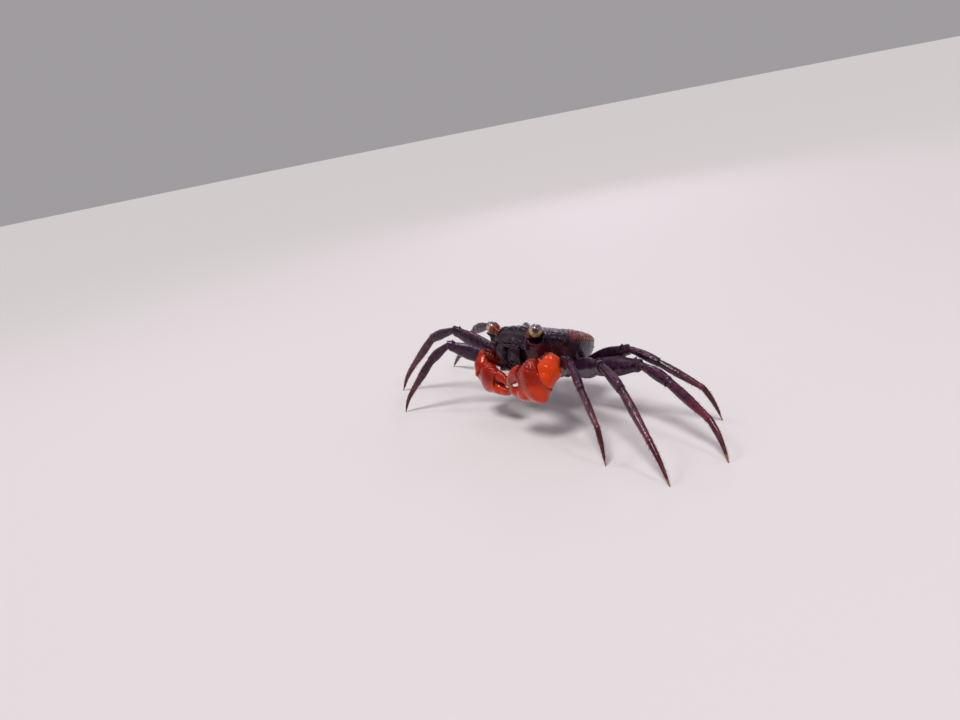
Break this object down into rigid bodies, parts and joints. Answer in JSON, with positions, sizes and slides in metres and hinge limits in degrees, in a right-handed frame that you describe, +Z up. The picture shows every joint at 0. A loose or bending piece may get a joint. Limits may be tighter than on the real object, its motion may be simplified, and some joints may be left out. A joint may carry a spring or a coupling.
{
  "type": "vampire crab",
  "caption": "Small land crab standing on slender jointed legs, with a flat squarish carapace, short stalked eyes and swollen claws folded before its mouth.",
  "frame": {"origin": "centre of the bounding box in plan, on the floor under the feet", "axes": "+Z up, -Y ahead of the crab, +X to the crab's left"},
  "size_m": [0.0794, 0.0354, 0.0174],
  "materials": {
    "dark_shell": "smooth, wet-looking dark purple-brown shell",
    "leg_shell": "smooth, finely granular",
    "toe_shell": "fine grooves and bristles",
    "claw_shell": "glossy, granular above",
    "finger_shell": "glossy with pale horn tips",
    "eyestalk_shell": "glossy",
    "cornea": "clear and glossy"
  },
  "bodies": {
    "root": {"carapace": "dark_shell", "thorax": "dark_shell", "pleon": "dark_shell", "maxilliped_left": "dark_shell", "antenna_left": "dark_shell", "eyestalk_left": "eyestalk_shell", "eye_left": "cornea", "claw_left_merus": "claw_shell", "claw_left_carpus": "claw_shell", "claw_left_palm": "claw_shell", "claw_left_finger": "finger_shell", "leg_left_1_merus": "leg_shell", "leg_left_1_carpus": "leg_shell", "leg_left_1_propodus": "leg_shell", "leg_left_1_dactylus": "toe_shell", "leg_left_2_merus": "leg_shell", "leg_left_2_carpus": "leg_shell", "leg_left_2_propodus": "leg_shell", "leg_left_2_dactylus": "toe_shell", "leg_left_3_merus": "leg_shell", "leg_left_3_carpus": "leg_shell", "leg_left_3_propodus": "leg_shell", "leg_left_3_dactylus": "toe_shell", "leg_left_4_merus": "leg_shell", "leg_left_4_carpus": "leg_shell", "leg_left_4_propodus": "leg_shell", "leg_left_4_dactylus": "toe_shell", "maxilliped_right": "dark_shell", "antenna_right": "dark_shell", "eyestalk_right": "eyestalk_shell", "eye_right": "cornea", "claw_right_merus": "claw_shell", "claw_right_carpus": "claw_shell", "claw_right_palm": "claw_shell", "claw_right_finger": "finger_shell", "leg_right_1_merus": "leg_shell", "leg_right_1_carpus": "leg_shell", "leg_right_1_propodus": "leg_shell", "leg_right_1_dactylus": "toe_shell", "leg_right_2_merus": "leg_shell", "leg_right_2_carpus": "leg_shell", "leg_right_2_propodus": "leg_shell", "leg_right_2_dactylus": "toe_shell", "leg_right_3_merus": "leg_shell", "leg_right_3_carpus": "leg_shell", "leg_right_3_propodus": "leg_shell", "leg_right_3_dactylus": "toe_shell", "leg_right_4_merus": "leg_shell", "leg_right_4_carpus": "leg_shell", "leg_right_4_propodus": "leg_shell", "leg_right_4_dactylus": "toe_shell"}
  },
  "joints": []
}
